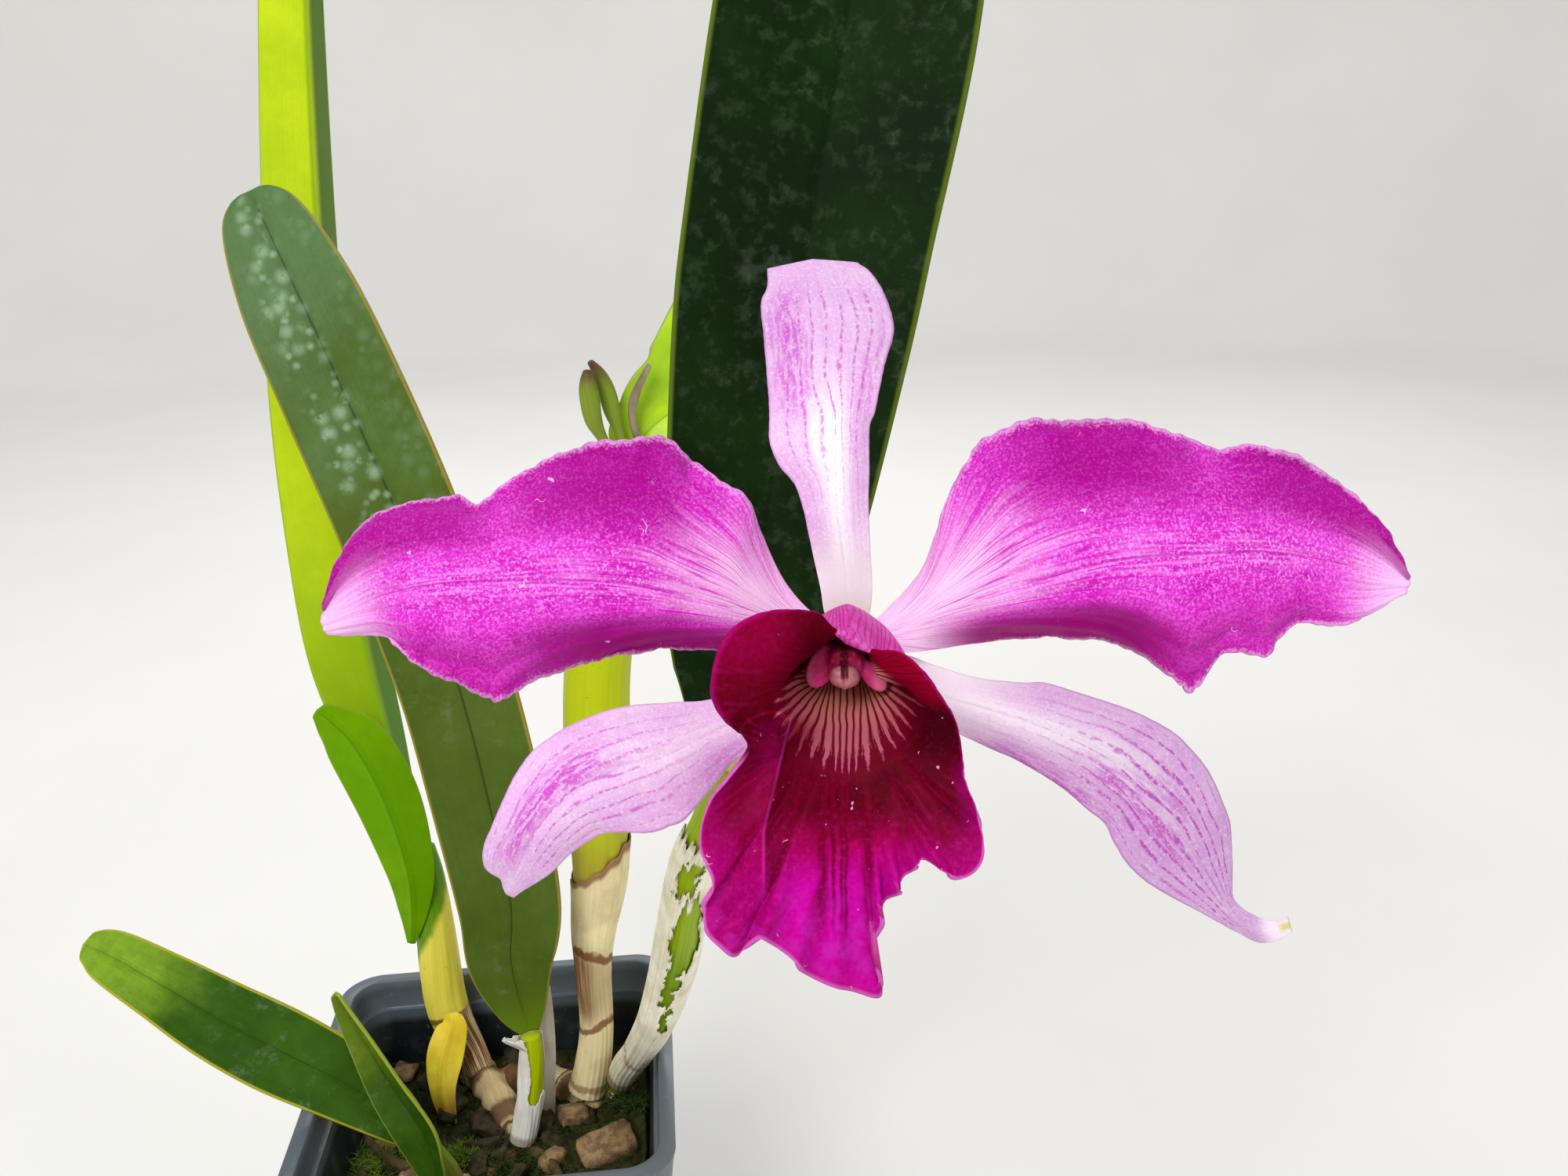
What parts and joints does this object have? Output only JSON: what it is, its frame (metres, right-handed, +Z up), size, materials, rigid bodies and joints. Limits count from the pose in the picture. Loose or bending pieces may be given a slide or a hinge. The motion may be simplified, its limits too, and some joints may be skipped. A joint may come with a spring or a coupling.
{
  "type": "potted orchid",
  "caption": "Cattleya orchid growing in a square pot: tall strap leaves on jointed bulbs with papery sheaths, and an open flower with frilled petals and a tubular lip.",
  "frame": {"origin": "centre of the pot's flat underside", "axes": "+Z up from the pot's underside, the flower faces -Y and a little up, +X to the right of someone facing the flower"},
  "size_m": [0.2986, 0.3332, 0.5041],
  "materials": {
    "pot": "satin",
    "potting_mix": "matte",
    "rhizome": "matte",
    "bulb_right": "satin",
    "bulb_middle": "satin",
    "bulb_left": "satin",
    "stem_young": "satin",
    "sheath": "matte",
    "leaf_dark": "satin",
    "leaf_bright": "satin",
    "leaf_green": "satin",
    "leaf_grey": "satin",
    "bract_yellow": "satin",
    "bract_dry": "matte",
    "bud": "satin",
    "stalk": "satin",
    "column": "satin",
    "anther_cap": "satin",
    "lip": "satin",
    "petal": "satin",
    "sepal": "satin"
  },
  "bodies": {
    "root": {"pot": "pot", "potting_mix": "potting_mix", "rhizome": "rhizome", "bulb_right": "bulb_right", "bulb_middle": "bulb_middle", "bulb_left": "bulb_left", "stem_front": "stem_young", "stem_small": "stem_young", "sheath_right": "sheath", "sheath_middle": "sheath", "sheath_front": "sheath", "scale_front": "sheath", "leaf_right": "leaf_dark", "leaf_middle": "leaf_bright", "leaf_left_tall": "leaf_bright", "leaf_left_short": "leaf_green", "leaf_front_long": "leaf_grey", "leaf_low": "leaf_green", "leaf_small": "leaf_green", "bract_yellow": "bract_yellow", "bract_middle": "bract_dry", "bud_left": "bud", "bud_right": "bud", "flower_stalk": "stalk", "column": "column", "anther_cap": "anther_cap", "lip": "lip", "petal_left": "petal", "petal_right": "petal", "sepal_top": "sepal", "sepal_lower_left": "sepal", "sepal_lower_right": "sepal"}
  },
  "joints": []
}
